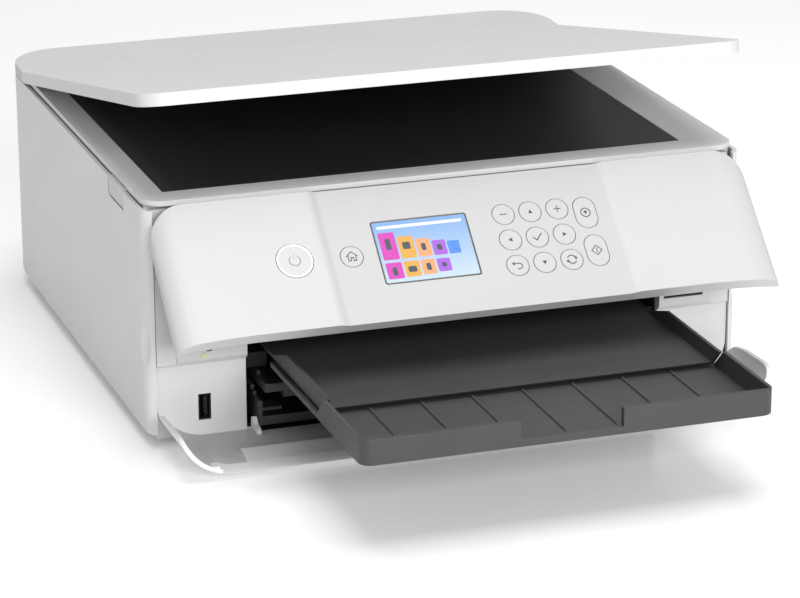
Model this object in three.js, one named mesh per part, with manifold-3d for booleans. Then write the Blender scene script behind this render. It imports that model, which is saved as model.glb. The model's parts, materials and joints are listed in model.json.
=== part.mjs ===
// A compact all-in-one inkjet printer: flatbed scanner over a colour print engine.
// Millimetres, +Z up, -Y is the front, origin on the floor. It stands with its lid
// ajar, its control panel tilted out, its front cover folded down and its tray out.
import * as THREE from "three";
import { mergeVertices } from "three/addons/utils/BufferGeometryUtils.js";
import Module from "manifold-3d";

const wasm = await Module();
wasm.setup();

// ---------- driving dimensions ----------
const GAP = 0.3; // running gap between pieces that meet
const SPAN = 600; // longer than the printer, for tools that cut right through
const WALL = 2.5; // moulded wall of the outer casing
const FRONT_SHIFT = 84; // brings the middle of the whole depth over the origin

const HALF_WIDTH = 174.5;
const REAR_Y = 170;
const FRONT_Y = -164;
const FOOT_TOP = 2.9;
const PAN_BOTTOM = 3.2;
const PAN_TOP = 5.6;
const CASE_BOTTOM = 6;
const CASE_TOP = 134.7;
const FRONT_CORNER = 11;
const REAR_CORNER = 33;
const SEAM_X = 169; // seam between side covers and front fascia
const REAR_SEAM_X = 140; // seam between side covers and rear cover
const FASCIA_BACK = -155.5;

const BAY_LEFT = -117.9; // paper bay between the two fascia columns
const BAY_RIGHT = 125.3;
const BAY_MIDDLE = (BAY_LEFT + BAY_RIGHT) / 2;
const BAY_TOP = 66;
const LEDGE_Z = 46.8;
const CASSETTE_SIDE = 4.4; // room beside the lower cassette

const LID_HINGE = { y: 119.2, z: 138.5 };
const LID_OPEN = 11.6; // degrees
const LID_LENGTH = 290.7;
const LID_THICK = 7;
const LID_SKIN = 1.4;
const TOP_Z = LID_HINGE.z + LID_THICK / 2;

const BEZEL = { x: 172.3, front: -159.3, rear: 110.4, bottom: 136.2, top: 139 };
const GLASS = { x0: -157.5, x1: 144.4, y0: -142.2, y1: 81.7, z0: 137, z1: 138.7 };
const TUB = { x: 170.8, front: -151.2, rear: 110, bottom: 121, top: 135.8 };
const NOTCH = { y0: -122, y1: -88, z: 124 }; // finger notch in each side wall
const NOTCH_GAP = 1; // round the tab that fills it

const PANEL_TOP = { y: -163.6, z: 137.8 };
const PANEL_TILT = 46.6; // degrees out from upright
const PANEL_HALF = 172.9;
const PANEL_DOWN = 82.8; // length of the front face
const PANEL_TIP = 85.2; // the two lower corners reach a little lower
const PANEL_DEPTH = 8.2;
const PANEL_SKIN = 2.3;
const PANEL_WRAP = 8.5; // how far the two ends curve back
const FIELD = { left: -84, right: 90, ramp: 7, recess: 1.5 }; // sunk middle field

const KEY_RADIUS = 6.3;
const KEY_ROWS = [25.9, 42, 58];
const KEY_COLUMNS = [23.8, 39.5, 55.3];
const LCD = { x: -24.9, down: 41.5, width: 54.5, height: 38.5 };
const POWER_KEY = { x: -99.3, down: 41.4, radius: 10.2 };
const HOME_KEY = { x: -67.1, down: 41.8 };
const WIDE_KEY_X = 71;
const WIDE_KEY_LENGTH = 19.3;
const STOP_DOWN = 30;
const START_DOWN = 54;

const COVER_HINGE = { y: -166, z: 9 };
const COVER = { tip: -221, bottom: 3.6, thick: 2.4, wing: 25 };
const COVER_BOWL = { x: 143, radius: 30 }; // round of its two upturned ends
const COVER_BAND = { half: 133, rear: -198, top: 8.2 }; // raised band along its front
const COVER_LUG = { x: 152.5, half: 2, length: 6.5, top: 8.6 };

const TRAY = { x0: -107.5, x1: 114.5, bottom: 49.6, top: 60 };
const RUNNER = { left: -104, right: 111.5, bottom: 37.2, top: 45.6 }; // carries the tray
const GEAR_MODULE = 2;
const FEED = { y: 8, z: 61, teeth: 18 };
const IDLER_TEETH = 22;
const EXIT = { y: -66, z: 61, teeth: 12 };

// ---------- solids from three.js geometry ----------
function solidOf(geometry) {
  const bare = geometry.index ? geometry.toNonIndexed() : geometry.clone();
  bare.deleteAttribute("normal");
  bare.deleteAttribute("uv");
  const merged = mergeVertices(bare, 1e-4);
  const mesh = new wasm.Mesh({
    numProp: 3,
    vertProperties: merged.attributes.position.array,
    triVerts: new Uint32Array(merged.index.array),
  });
  return new wasm.Manifold(mesh);
}

function geometryOf(solid) {
  const mesh = solid.getMesh();
  const corners = new THREE.BufferAttribute(new Float32Array(mesh.vertProperties), 3);
  const shared = new THREE.BufferGeometry()
    .setAttribute("position", corners)
    .setIndex(new THREE.BufferAttribute(new Uint32Array(mesh.triVerts), 1));
  const faceted = shared.toNonIndexed();
  faceted.computeVertexNormals();
  return faceted;
}

function union(...solids) {
  return solids.reduce((whole, piece) => whole.add(piece));
}

function cut(solid, ...tools) {
  return tools.reduce((whole, tool) => whole.subtract(tool), solid);
}

function box(x0, x1, y0, y1, z0, z1) {
  const geometry = new THREE.BoxGeometry(x1 - x0, y1 - y0, z1 - z0);
  geometry.translate((x0 + x1) / 2, (y0 + y1) / 2, (z0 + z1) / 2);
  return solidOf(geometry);
}

function arc(x, y, radius, from, to, steps) {
  const points = [];
  for (let i = 0; i <= steps; i++) {
    const angle = from + ((to - from) * i) / steps;
    points.push([x + radius * Math.cos(angle), y + radius * Math.sin(angle)]);
  }
  return points;
}

// Outline of a rectangle with its own radius at the low-v and at the high-v corners.
function roundedOutline(u0, u1, v0, v1, lowRadius, highRadius = lowRadius, steps = 4) {
  const quarter = Math.PI / 2;
  const low = lowRadius;
  const high = highRadius;
  return [
    ...arc(u0 + low, v0 + low, low, 2 * quarter, 3 * quarter, steps),
    ...arc(u1 - low, v0 + low, low, -quarter, 0, steps),
    ...arc(u1 - high, v1 - high, high, 0, quarter, steps),
    ...arc(u0 + high, v1 - high, high, quarter, 2 * quarter, steps),
  ];
}

function shapeOf(points) {
  return new THREE.Shape(points.map(([u, v]) => new THREE.Vector2(u, v)));
}

// A plan outline (x, y) raised from z0 to z1.
function raised(points, z0, z1) {
  const geometry = new THREE.ExtrudeGeometry(shapeOf(points), {
    depth: z1 - z0,
    bevelEnabled: false,
  });
  geometry.translate(0, 0, z0);
  return solidOf(geometry);
}

// A side profile (y, z) run along X from x0 to x1.
function across(points, x0, x1) {
  const geometry = new THREE.ExtrudeGeometry(shapeOf(points), {
    depth: x1 - x0,
    bevelEnabled: false,
  });
  geometry.applyMatrix4(
    new THREE.Matrix4().makeBasis(
      new THREE.Vector3(0, 1, 0),
      new THREE.Vector3(0, 0, 1),
      new THREE.Vector3(1, 0, 0),
    ),
  );
  geometry.translate(x0, 0, 0);
  return solidOf(geometry);
}

// A front outline (x, z) run back from y0 to y1.
function facing(points, y0, y1) {
  const geometry = new THREE.ExtrudeGeometry(shapeOf(points), {
    depth: y1 - y0,
    bevelEnabled: false,
  });
  geometry.applyMatrix4(
    new THREE.Matrix4().makeBasis(
      new THREE.Vector3(1, 0, 0),
      new THREE.Vector3(0, 0, 1),
      new THREE.Vector3(0, -1, 0),
    ),
  );
  geometry.translate(0, y1, 0);
  return solidOf(geometry);
}

// A turned piece about an axis along X, from a list of [x, radius] steps.
function turned(steps, y, z, sides) {
  const first = steps[0];
  const last = steps[steps.length - 1];
  const profile = [[0, first[0]], ...steps.map(([x, r]) => [r, x]), [0, last[0]]];
  const geometry = new THREE.LatheGeometry(
    profile.map(([r, h]) => new THREE.Vector2(r, h)),
    sides,
  );
  geometry.applyMatrix4(
    new THREE.Matrix4().makeBasis(
      new THREE.Vector3(0, 1, 0),
      new THREE.Vector3(1, 0, 0),
      new THREE.Vector3(0, 0, -1),
    ),
  );
  geometry.translate(0, y, z);
  return solidOf(geometry);
}

function rodX(x0, x1, y, z, radius, sides = 16) {
  const geometry = new THREE.CylinderGeometry(radius, radius, x1 - x0, sides);
  geometry.rotateZ(Math.PI / 2);
  geometry.translate((x0 + x1) / 2, y, z);
  return solidOf(geometry);
}

function rodY(x, y0, y1, z, radius, sides = 16) {
  const geometry = new THREE.CylinderGeometry(radius, radius, y1 - y0, sides);
  geometry.translate(x, (y0 + y1) / 2, z);
  return solidOf(geometry);
}

function rodZ(x, y, z0, z1, radius, sides = 16) {
  const geometry = new THREE.CylinderGeometry(radius, radius, z1 - z0, sides);
  geometry.rotateX(Math.PI / 2);
  geometry.translate(x, y, (z0 + z1) / 2);
  return solidOf(geometry);
}

// ---------- finishes ----------
function finish(color, roughness, metalness = 0) {
  return { color, roughness, metalness };
}

const WHITE = finish(0xe4e5e6, 0.45);
const PANEL_WHITE = finish(0xececec, 0.4);
const LIGHT_GREY = finish(0x9fa0a1, 0.5);
const MID_GREY = finish(0x6f7072, 0.55);
const DARK_GREY = finish(0x3c3d3f, 0.6);
const BLACK = finish(0x151516, 0.5);
const BLACK_GLASS = finish(0x0e0e10, 0.06);
const RUBBER = finish(0x202022, 0.9);
const STEEL = finish(0xb4b6b9, 0.35, 1);
const GREEN = finish(0x1d5b34, 0.5);
const LAMP = finish(0xb9d86a, 0.3);

function piece(name, solid, look) {
  const material = new THREE.MeshStandardMaterial(look);
  const mesh = new THREE.Mesh(geometryOf(solid), material);
  mesh.name = name;
  return mesh;
}

// ---------- lower casing ----------
function casingOutline(inset) {
  return roundedOutline(
    -HALF_WIDTH + inset,
    HALF_WIDTH - inset,
    FRONT_Y + inset,
    REAR_Y - inset,
    FRONT_CORNER - inset,
    REAR_CORNER - inset,
    10,
  );
}

// The casing block with its lower edge rounded by the given radius.
function casingBlock(inset, bottom, round) {
  const height = 160;
  const geometry = new THREE.ExtrudeGeometry(shapeOf(casingOutline(inset)), {
    depth: height,
    bevelEnabled: true,
    bevelThickness: round,
    bevelSize: round,
    bevelOffset: -round,
    bevelSegments: 3,
  });
  geometry.translate(0, 0, bottom + round);
  return solidOf(geometry);
}

function casingShell() {
  const block = casingBlock(0, PAN_BOTTOM, 8);
  const hollow = casingBlock(WALL, PAN_TOP, 6);
  const above = box(-SPAN, SPAN, -SPAN, SPAN, CASE_TOP, SPAN);
  const below = box(-SPAN, SPAN, -SPAN, SPAN, -SPAN, CASE_BOTTOM);
  const front = box(-SEAM_X, SEAM_X, FRONT_Y - 1, FRONT_Y + FRONT_CORNER + 4, -1, SPAN);
  return cut(block, hollow, above, below, front);
}

// A long finger scoop down the front corner, cut into a thickened stretch of wall.
function cornerScoop() {
  const scoop = new THREE.SphereGeometry(1, 32, 20);
  scoop.scale(8, 10, 20);
  scoop.translate(-HALF_WIDTH - 4.6, -161, 57.5);
  return solidOf(scoop);
}

// The finger notch in (y, z), with a round lower rear corner, drawn in by inset.
function notchOutline(inset) {
  const radius = 4;
  const low = NOTCH.z + inset;
  const rear = NOTCH.y1 - inset;
  return [
    [NOTCH.y0 + inset, low],
    ...arc(rear - radius, low + radius, radius, -Math.PI / 2, 0, 6),
    [rear, TUB.top],
    [NOTCH.y0 + inset, TUB.top],
  ];
}

function sideCover() {
  const half = casingShell().intersect(
    box(-SPAN, -REAR_SEAM_X - GAP / 2, -SPAN, SPAN, -1, SPAN),
  );
  const backing = casingBlock(1, PAN_BOTTOM, 8).intersect(
    box(-SPAN, -SEAM_X, FRONT_Y - 1, -146, 30, 86),
  );
  const notch = across(notchOutline(0), -SPAN, -REAR_SEAM_X);
  return cut(union(half, backing), notch, cornerScoop());
}

function rearCover() {
  const wall = casingShell().intersect(
    box(-REAR_SEAM_X + GAP / 2, REAR_SEAM_X - GAP / 2, 100, SPAN, -1, SPAN),
  );
  const inletHole = box(-132, -112, 150, SPAN, 20, 36);
  const vents = [];
  for (let i = 0; i < 6; i++) {
    const x = 60 + 9 * i;
    vents.push(box(x, x + 3.5, 150, SPAN, 60, 96));
  }
  return cut(wall, inletHole, ...vents);
}

function basePan() {
  const inset = 9;
  const outline = roundedOutline(
    -HALF_WIDTH + inset,
    HALF_WIDTH - inset,
    FASCIA_BACK + GAP,
    REAR_Y - inset,
    3,
    REAR_CORNER - inset,
  );
  const plate = raised(outline, PAN_BOTTOM, PAN_TOP);
  const rib = { thick: 2.6, y0: FASCIA_BACK + 1, y1: 140, z1: 54.6 };
  const apronFront = -169.8;
  const runners = [
    box(BAY_LEFT - 1, RUNNER.left, rib.y0 + 1, 100, RUNNER.bottom, RUNNER.top),
    box(RUNNER.right, BAY_RIGHT + 1, rib.y0 + 1, 100, RUNNER.bottom, RUNNER.top),
  ];
  const leftRib = box(
    BAY_LEFT - rib.thick,
    BAY_LEFT,
    rib.y0,
    rib.y1,
    PAN_TOP - 1,
    rib.z1,
  );
  const rightRib = box(
    BAY_RIGHT,
    BAY_RIGHT + rib.thick,
    rib.y0,
    rib.y1,
    PAN_TOP - 1,
    rib.z1,
  );
  const apron = box(
    BAY_LEFT + CASSETTE_SIDE,
    BAY_RIGHT - CASSETTE_SIDE,
    apronFront,
    rib.y0,
    PAN_BOTTOM,
    PAN_TOP,
  );
  return union(plate, leftRib, rightRib, apron, ...runners);
}

const USB_PORT = { x: -141.65, z: 20, width: 7.2, height: 15.2 };
const STATUS_LIGHT = { x: -142.5, z: 50.8, radius: 1.6 };
const CARD_SLOT = { x0: 128, x1: 152, z0: 53, z1: 54.5 };

function frontFascia() {
  const bottom = PAN_BOTTOM + 0.2;
  const profile = [
    [-160.3, bottom],
    [-160.3, LEDGE_Z - 2],
    [-160.9, LEDGE_Z - 0.8],
    [-162.6, LEDGE_Z + 0.4],
    [-163.7, LEDGE_Z + 1.6],
    [FRONT_Y, LEDGE_Z + 3.2],
    [FRONT_Y, 55],
    [-163.6, 56.6],
    [-162.4, 57.8],
    [-161.8, 59.4],
    [-161.8, 115.5],
    [-155.6, 119],
    [-155.6, 133.6],
    [-152, 133.6],
    [-152, 117],
    [-157.5, 113],
    [-157.5, bottom],
  ].reverse();
  const edge = SEAM_X - 0.5;
  const face = across(profile, -edge, edge);
  const lowCorner = 20;
  const corners = roundedOutline(-edge, edge, bottom, 134, lowCorner, 1, 12);
  const backing = box(-edge, edge, -158, FASCIA_BACK, bottom, 30);
  const rounded = union(face.intersect(facing(corners, -200, -100)), backing);
  const bay = box(BAY_LEFT, BAY_RIGHT, -SPAN, SPAN, -1, BAY_TOP);
  const halfUsb = { x: USB_PORT.width / 2, z: USB_PORT.height / 2 };
  const usbHole = box(
    USB_PORT.x - halfUsb.x,
    USB_PORT.x + halfUsb.x,
    -SPAN,
    SPAN,
    USB_PORT.z - halfUsb.z,
    USB_PORT.z + halfUsb.z,
  );
  const lightHole = rodY(
    STATUS_LIGHT.x,
    -170,
    -150,
    STATUS_LIGHT.z,
    STATUS_LIGHT.radius + GAP,
    20,
  );
  const cardHole = box(
    CARD_SLOT.x0,
    CARD_SLOT.x1,
    -SPAN,
    SPAN,
    CARD_SLOT.z0,
    CARD_SLOT.z1,
  );
  const ledgeEnd = 157.5;
  const ledgeEnds = [-1, 1].map((side) =>
    box(
      Math.min(side * ledgeEnd, side * SPAN),
      Math.max(side * ledgeEnd, side * SPAN),
      -SPAN,
      -162,
      LEDGE_Z - 4,
      70,
    ),
  );
  return cut(rounded, bay, usbHole, lightHole, cardHole, ...ledgeEnds);
}

function usbPort() {
  const outer = { x: USB_PORT.width / 2 - GAP, z: USB_PORT.height / 2 - GAP };
  const wall = 0.7;
  const shell = box(
    USB_PORT.x - outer.x,
    USB_PORT.x + outer.x,
    -160,
    -146,
    USB_PORT.z - outer.z,
    USB_PORT.z + outer.z,
  );
  const hollow = box(
    USB_PORT.x - outer.x + wall,
    USB_PORT.x + outer.x - wall,
    -161,
    -147,
    USB_PORT.z - outer.z + wall,
    USB_PORT.z + outer.z - wall,
  );
  return cut(shell, hollow);
}

function powerInlet() {
  const body = box(-131.7, -112.3, 156, 169.4, 20.3, 35.7);
  const recess = box(-129, -115, 159, 180, 23.5, 32.5);
  return cut(body, recess);
}

function lowerCasing() {
  const group = new THREE.Group();
  group.add(piece("base_pan", basePan(), BLACK));
  group.add(piece("case_left", sideCover(), WHITE));
  const right = piece("case_right", sideCover(), WHITE);
  right.scale.x = -1;
  group.add(right);
  group.add(piece("case_rear", rearCover(), WHITE));
  group.add(piece("front_fascia", frontFascia(), WHITE));
  group.add(piece("usb_port", usbPort(), BLACK));
  const light = rodY(STATUS_LIGHT.x, -164.4, -158, STATUS_LIGHT.z, STATUS_LIGHT.radius, 20);
  group.add(piece("status_light", light, LAMP));
  group.add(piece("power_inlet", powerInlet(), BLACK));
  for (const [side, x] of [["left", -140], ["right", 140]]) {
    for (const [end, y] of [["front", -130], ["rear", 130]]) {
      group.add(piece(`foot_${end}_${side}`, rodZ(x, y, 0, FOOT_TOP, 9, 32), RUBBER));
    }
  }
  return group;
}

// ---------- inner works ----------
function carriageRail() {
  const web = box(-158, 159, 0.6, 3, 72, 112);
  const foot = box(-158, 159, 0.6, 14, 72, 74.4);
  return union(web, foot);
}

function carriageMotor() {
  const can = rodY(-150, 22, 52, 92, 13, 32);
  const shaft = rodY(-150, 8, 24, 92, 1.6, 16);
  const pulley = rodY(-150, 10, 18, 92, 6, 24);
  return union(can, shaft, pulley);
}

function powerSupply() {
  const body = box(-165, -124, 45, 150, 9, 62);
  const fins = [];
  for (let i = 0; i < 5; i++) {
    const y = 55 + 18 * i;
    fins.push(box(-158, -131, y, y + 9, 58, 70));
  }
  return cut(body, ...fins);
}

function innerWorks() {
  const group = new THREE.Group();
  group.add(piece("carriage_rail", carriageRail(), STEEL));
  group.add(piece("carriage_motor", carriageMotor(), STEEL));
  group.add(piece("power_supply", powerSupply(), BLACK));
  group.add(piece("main_board", box(163, 164.6, -60, 120, 14, 100), GREEN));
  group.add(piece("maintenance_box", box(131, 158, -60, 50, 9, 50), LIGHT_GREY));
  const platen = union(
    box(BAY_LEFT - 2, BAY_RIGHT + 2, -52, -6, 55, 56.8),
    box(-104, 111, -50, -46, 56, 58.4),
    box(-104, 111, -12, -8, 56, 58.4),
  );
  group.add(piece("platen", platen, BLACK));
  return group;
}

// ---------- print carriage and ink ----------
const CARRIAGE = { x0: 72, x1: 160, y0: -51, y1: -0.6, z0: 64, z1: 98 };
const INKS = [
  ["black", 0x1a1a1c],
  ["photo_black", 0x2c2c30],
  ["cyan", 0x1e8fb8],
  ["magenta", 0xb0306a],
  ["yellow", 0xe0c022],
];

function printCarriage() {
  const group = new THREE.Group();
  const wall = 2;
  const { x0, x1, y0, y1, z0, z1 } = CARRIAGE;
  const outer = box(x0, x1, y0, y1, z0, z1);
  const hollow = box(x0 + wall, x1 - wall, y0 + wall, y1 - wall, z0 + 5, z1 + 1);
  const printHead = box(x0 + 14, x1 - 14, -44, -16, z0 - 4, z0 + 1);
  const hookPost = box(x0 + 10, x1 - 10, -2.6, y1, z1 - 2, 116);
  const hookTop = box(x0 + 10, x1 - 10, -2.6, 6, 113, 116);
  const carriage = union(cut(outer, hollow), printHead, hookPost, hookTop);
  group.add(piece("carriage", carriage, BLACK));
  const pitch = (x1 - x0 - 2 * wall) / INKS.length;
  INKS.forEach(([ink, color], i) => {
    const x = x0 + wall + pitch * i;
    const tank = box(x + GAP, x + pitch - GAP, y0 + 2.4, y1 - 2.4, z0 + 5.4, 108);
    const grip = box(x + 3, x + pitch - 3, y0 + 2.4, y0 + 6, 107, 111);
    group.add(piece(`cartridge_${ink}`, union(tank, grip), finish(color, 0.45)));
  });
  return group;
}

// ---------- rollers and their gear train ----------
const GEAR_X = { x0: -166, x1: -161 };

function gear(teeth, y, z, firstTooth) {
  const pitchRadius = (GEAR_MODULE * teeth) / 2;
  const tip = pitchRadius + 1.5;
  const root = pitchRadius - 2;
  const step = (2 * Math.PI) / teeth;
  const outline = [];
  for (let i = 0; i < teeth; i++) {
    const middle = firstTooth + i * step;
    for (const [radius, offset] of [
      [root, -0.25],
      [tip, -0.08],
      [tip, 0.08],
      [root, 0.25],
    ]) {
      const angle = middle + offset * step;
      outline.push([y + radius * Math.cos(angle), z + radius * Math.sin(angle)]);
    }
  }
  const bore = rodX(-SPAN, SPAN, y, z, 3 + GAP, 28);
  return cut(across(outline, GEAR_X.x0, GEAR_X.x1), bore);
}

function rollers() {
  const group = new THREE.Group();
  const rubber = { x0: -108, x1: 115 };
  const shaft = 3;
  const spindle = (radius) => [
    [-169, shaft],
    [rubber.x0, shaft],
    [rubber.x0, radius],
    [rubber.x1, radius],
    [rubber.x1, shaft],
    [134, shaft],
  ];
  const idlerY = FEED.y - (GEAR_MODULE * (FEED.teeth + IDLER_TEETH)) / 2;
  const idlerStep = (2 * Math.PI) / IDLER_TEETH;
  group.add(piece("feed_roller", turned(spindle(6), FEED.y, FEED.z, 28), RUBBER));
  group.add(piece("feed_gear", gear(FEED.teeth, FEED.y, FEED.z, Math.PI), LIGHT_GREY));
  const idler = union(
    gear(IDLER_TEETH, idlerY, FEED.z, idlerStep / 2),
    rodX(GEAR_X.x0 - 2, GEAR_X.x1 + 2, idlerY, FEED.z, 3.6, 24),
  );
  group.add(piece("idler_gear", idler, LIGHT_GREY));
  group.add(piece("exit_roller", turned(spindle(5), EXIT.y, EXIT.z, 28), RUBBER));
  group.add(piece("exit_gear", gear(EXIT.teeth, EXIT.y, EXIT.z, 0), LIGHT_GREY));
  return group;
}

// ---------- paper cassettes ----------
// An open box for paper, set in from the bay on either side, with a low front.
function cassette(side, front, rear, bottom, sideTop, frontTop) {
  const x0 = BAY_LEFT + side;
  const x1 = BAY_RIGHT - side;
  const wall = 2;
  const outer = box(x0, x1, front, rear, bottom, sideTop);
  const hollow = box(x0 + wall, x1 - wall, front + wall, rear - wall, bottom + wall, SPAN);
  const lowFront = box(x0 + wall, x1 - wall, front - 1, front + 12, frontTop, SPAN);
  const cheekTop = box(x0 - 1, x1 + 1, front - 1, front + 16, sideTop - 2.4, SPAN);
  const grip = box(BAY_MIDDLE - 30, BAY_MIDDLE + 30, front - 1, front + 3, frontTop - 3, SPAN);
  return cut(outer, hollow, lowFront, cheekTop, grip);
}

function lowerCassette() {
  const tray = cassette(CASSETTE_SIDE, -169.6, 118, 8.6, 27, 13.6);
  const cheekTop = box(-SPAN, SPAN, -SPAN, -158, 22.8, SPAN);
  const ledges = [
    box(BAY_LEFT + 6, BAY_LEFT + 19, -164, -153, 14.6, 16.6),
    box(BAY_RIGHT - 19, BAY_RIGHT - 6, -164, -153, 14.6, 16.6),
  ];
  return union(cut(tray, cheekTop), ...ledges);
}

function upperCassette() {
  const tray = cassette(7.4, -172, 60, 28.2, 35.6, 33);
  const lip = box(BAY_MIDDLE - 104, BAY_MIDDLE + 104, -172, -166, 24.6, 29);
  return union(tray, lip);
}

function edgeGuide(x) {
  return union(box(x, x + 2, -90, -20, 11, 24), box(x - 6, x + 8, -70, -40, 11, 12.2));
}

function cassettes() {
  const group = new THREE.Group();
  group.add(piece("lower_cassette", lowerCassette(), DARK_GREY));
  group.add(piece("upper_cassette", upperCassette(), DARK_GREY));
  const a4Half = 106;
  group.add(piece("guide_left", edgeGuide(BAY_MIDDLE - a4Half - 2), MID_GREY));
  group.add(piece("guide_right", edgeGuide(BAY_MIDDLE + a4Half), MID_GREY));
  return group;
}

// ---------- output tray in two stages ----------
const TRAY_FRONT = -338;
const STAGE_JOIN = -264;
const WALL_DROP = { y0: -206, y1: -178 }; // where the side walls fall to pass under the panel
const LOW_WALL = 2.4; // height of the side walls behind it

// The side profile of everything ahead of the slanted joint between the two stages.
function aheadOfJoin(gap) {
  return across(
    [
      [STAGE_JOIN - gap, 40],
      [STAGE_JOIN - gap, TRAY.bottom],
      [STAGE_JOIN - 12 - gap, TRAY.top + 1],
      [-SPAN, TRAY.top + 1],
      [-SPAN, 40],
    ].reverse(),
    -SPAN,
    SPAN,
  );
}

function outputTray() {
  const wall = 2;
  const { x0, x1, bottom, top } = TRAY;
  const rear = -96;
  const outer = box(x0, x1, STAGE_JOIN - 20, rear, bottom, top);
  const hollow = box(x0 + wall, x1 - wall, -SPAN, rear + 1, bottom + wall, top + 1);
  const low = bottom + LOW_WALL;
  const aboveRear = across(
    [
      [0, low],
      [0, top + 1],
      [WALL_DROP.y0, top + 1],
      [WALL_DROP.y1, low],
    ],
    -SPAN,
    SPAN,
  );
  return cut(outer, hollow, aboveRear, aheadOfJoin(0));
}

function trayExtension() {
  const wall = 2.2;
  const x0 = TRAY.x0 - GAP - wall;
  const x1 = TRAY.x1 + GAP + wall;
  const bottom = RUNNER.top + 0.5;
  const thick = 2.2;
  const rear = -180;
  const outline = roundedOutline(x0, x1, TRAY_FRONT, rear, 7, 1, 8);
  const outer = raised(outline, bottom, TRAY.top);
  const hollow = box(
    x0 + wall,
    x1 - wall,
    TRAY_FRONT + 4,
    rear + 1,
    bottom + thick,
    TRAY.top + 1,
  );
  const low = raised(outline, bottom, TRAY.bottom - 2 * GAP);
  const open = cut(union(outer.intersect(aheadOfJoin(GAP)), low), hollow);
  const ribs = [];
  const ribCount = 7;
  for (let i = 1; i <= ribCount; i++) {
    const x = x0 + ((x1 - x0) * i) / (ribCount + 1);
    ribs.push(box(x - 0.9, x + 0.9, TRAY_FRONT + 3, STAGE_JOIN - 2, bottom + 1, bottom + 3.2));
  }
  const stopNotch = box(
    BAY_MIDDLE - 28,
    BAY_MIDDLE + 28,
    TRAY_FRONT - 1,
    TRAY_FRONT + 10,
    bottom + 4,
    TRAY.top + 1,
  );
  return cut(union(open, ...ribs), stopNotch);
}

// ---------- front cover, folded down ----------
// The cover's cross-section above its skin, grown inwards by inset: flat, with upturned ends.
function coverSection(inset) {
  const { x, radius } = COVER_BOWL;
  const centreZ = COVER.bottom + radius;
  const end = Math.acos((centreZ - COVER.wing) / (radius - inset));
  const quarter = Math.PI / 2;
  const r = radius - inset;
  return [
    ...arc(-x, centreZ, r, -quarter - end, -quarter, 12),
    ...arc(x, centreZ, r, -quarter, -quarter + end, 12),
  ];
}

// The side outline (y, z) of the upturned ends.
function coverEndOutline() {
  const { tip, wing } = COVER;
  const root = COVER_HINGE.y;
  return [
    [root, 0],
    [root, 14.4],
    [root - 2, 17.2],
    [root - 4, 20],
    [root - 7, 22.4],
    [root - 19, wing - 0.8],
    [root - 40, wing - 0.01],
    ...arc(tip + 10, wing - 10.1, 10, Math.PI / 2, Math.PI, 8),
    [tip, 0],
  ];
}

// A slim curved hinge arm in (y, z).
const HINGE_ARM = [
  [-176, 5],
  [-176, 7],
  [-175, 8.6],
  [-173, 9.2],
  [-170.5, 9.6],
  [-169, 10.8],
  [-168, 12.4],
  [-166.6, 13.2],
  [-165, 12.8],
  [-164.4, 11.4],
  [-164.4, 5],
];

// What is cut from the band so that it slopes down to a thin rounded front edge (y, z).
function bandSlope() {
  const { tip, bottom } = COVER;
  const { half, rear, top } = COVER_BAND;
  const profile = [
    [rear - 1, top],
    [rear - 3, top - 0.3],
    [tip + 8, 5.9],
    [tip + 4, 5.1],
    [tip + 1.5, 4.5],
    [tip, bottom + 0.2],
    [tip - 1, bottom],
    [tip - 1, top + 1],
    [rear - 1, top + 1],
  ].reverse();
  return across(profile, -half - 16, half + 16);
}

function frontCover() {
  const { tip, thick } = COVER;
  const root = COVER_HINGE.y;
  const floor = COVER.bottom + thick;
  const ends = across(coverEndOutline(), -SPAN, SPAN);
  const skin = cut(
    facing(coverSection(0), tip, root),
    facing(coverSection(thick), tip - 1, root + 1),
  ).intersect(ends);
  const { half, rear, top } = COVER_BAND;
  const band = box(-half, half, tip, rear, COVER.bottom + 1, top);
  const { length } = COVER_LUG;
  const lugs = [-COVER_LUG.x, COVER_LUG.x].map((x) =>
    box(
      x - COVER_LUG.half,
      x + COVER_LUG.half,
      tip,
      tip + length,
      COVER.bottom + 2,
      COVER_LUG.top,
    ),
  );
  const cassetteRoom = box(BAY_LEFT + 4, BAY_RIGHT - 4, root - 4.4, root + 1, -1, SPAN);
  const arms = [BAY_LEFT + 2.5, BAY_RIGHT - 2.5].map((x) =>
    across([...HINGE_ARM].reverse(), x - 1.3, x + 1.3),
  );
  const plate = cut(union(skin, band), bandSlope(), cassetteRoom);
  return union(plate, ...lugs, ...arms);
}

// ---------- control panel (local: x, +y into the panel, top edge at z = 0) ----------
// How far back the face lies at x, for a skin whose ends stop at the given half width.
function faceBack(x, half) {
  const straight = PANEL_HALF - 16;
  const along = Math.min(Math.max(Math.abs(x) - straight, 0) / (half - straight), 1);
  const wrap = PANEL_WRAP * (1 - Math.sqrt(1 - along * along));
  const intoField = Math.min(x - FIELD.left, FIELD.right - x) / FIELD.ramp;
  const share = Math.min(Math.max(intoField, 0), 1);
  return wrap + FIELD.recess * share * share * (3 - 2 * share);
}

function faceStations(half) {
  const straight = PANEL_HALF - 16;
  const end = [];
  const steps = 10;
  for (let i = 0; i <= steps; i++) {
    end.push(straight + (half - straight) * Math.sin((i / steps) * (Math.PI / 2)));
  }
  const { left, right, ramp } = FIELD;
  const soft = [];
  for (let i = 0; i <= steps / 2; i++) soft.push((ramp * i) / (steps / 2));
  const field = [...soft.map((d) => left + d), ...soft.map((d) => right - d).reverse()];
  return [...end.map((x) => -x).reverse(), ...field, ...end];
}

// The slab behind the face, from the skin surface back to the given depth.
function panelSlab(half, behind, depth) {
  const face = faceStations(half).map((x) => [x, faceBack(x, half) + behind]);
  const top = face[face.length - 1][1];
  const back = Math.max(depth, top + 0.4);
  return raised([...face, [half, back], [-half, back]], -120, 20);
}

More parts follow.
